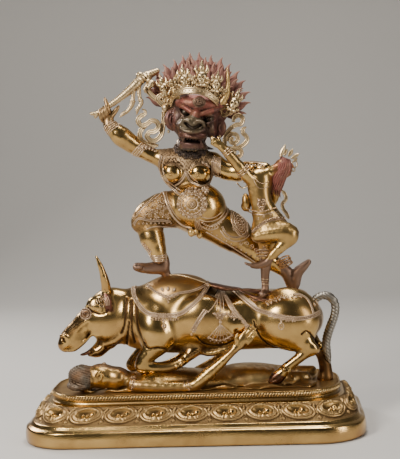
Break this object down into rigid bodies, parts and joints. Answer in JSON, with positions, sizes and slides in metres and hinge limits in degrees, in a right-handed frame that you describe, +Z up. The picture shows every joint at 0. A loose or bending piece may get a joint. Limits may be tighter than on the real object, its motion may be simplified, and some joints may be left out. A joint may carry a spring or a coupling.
{
  "type": "yama statue",
  "caption": "Gilt group of a bull-headed figure dancing on a crouching buffalo, with a small attendant, over a lying figure on an oblong lotus base.",
  "frame": {"origin": "middle of the underside of the base", "axes": "+Z up, the front of the group faces -Y, +X to the right seen from the front (the buffalo's head points to -X)"},
  "size_m": [0.398, 0.197, 0.4491],
  "materials": {
    "gilt_base": "satin, brushed gilding",
    "gilt_worn": "worn gilding, brown in the hollows",
    "gilt_bright": "polished gilding",
    "bare_metal": "grey, gilding lost",
    "gilt_body": "polished gilding, dark worn face",
    "gilt_small": "gilding, satin",
    "gilt_pale": "pale gilding",
    "red_pigment": "matt red pigment, worn to gold on the edges"
  },
  "bodies": {
    "root": {"lotus_base": "gilt_base", "corpse": "gilt_worn", "buffalo": "gilt_bright", "buffalo_tail": "bare_metal", "yama": "gilt_body", "consort": "gilt_small", "club": "gilt_pale", "flame_hair": "red_pigment", "skull_crown": "gilt_pale", "scarf_right": "gilt_pale", "scarf_left": "gilt_pale"}
  },
  "joints": []
}
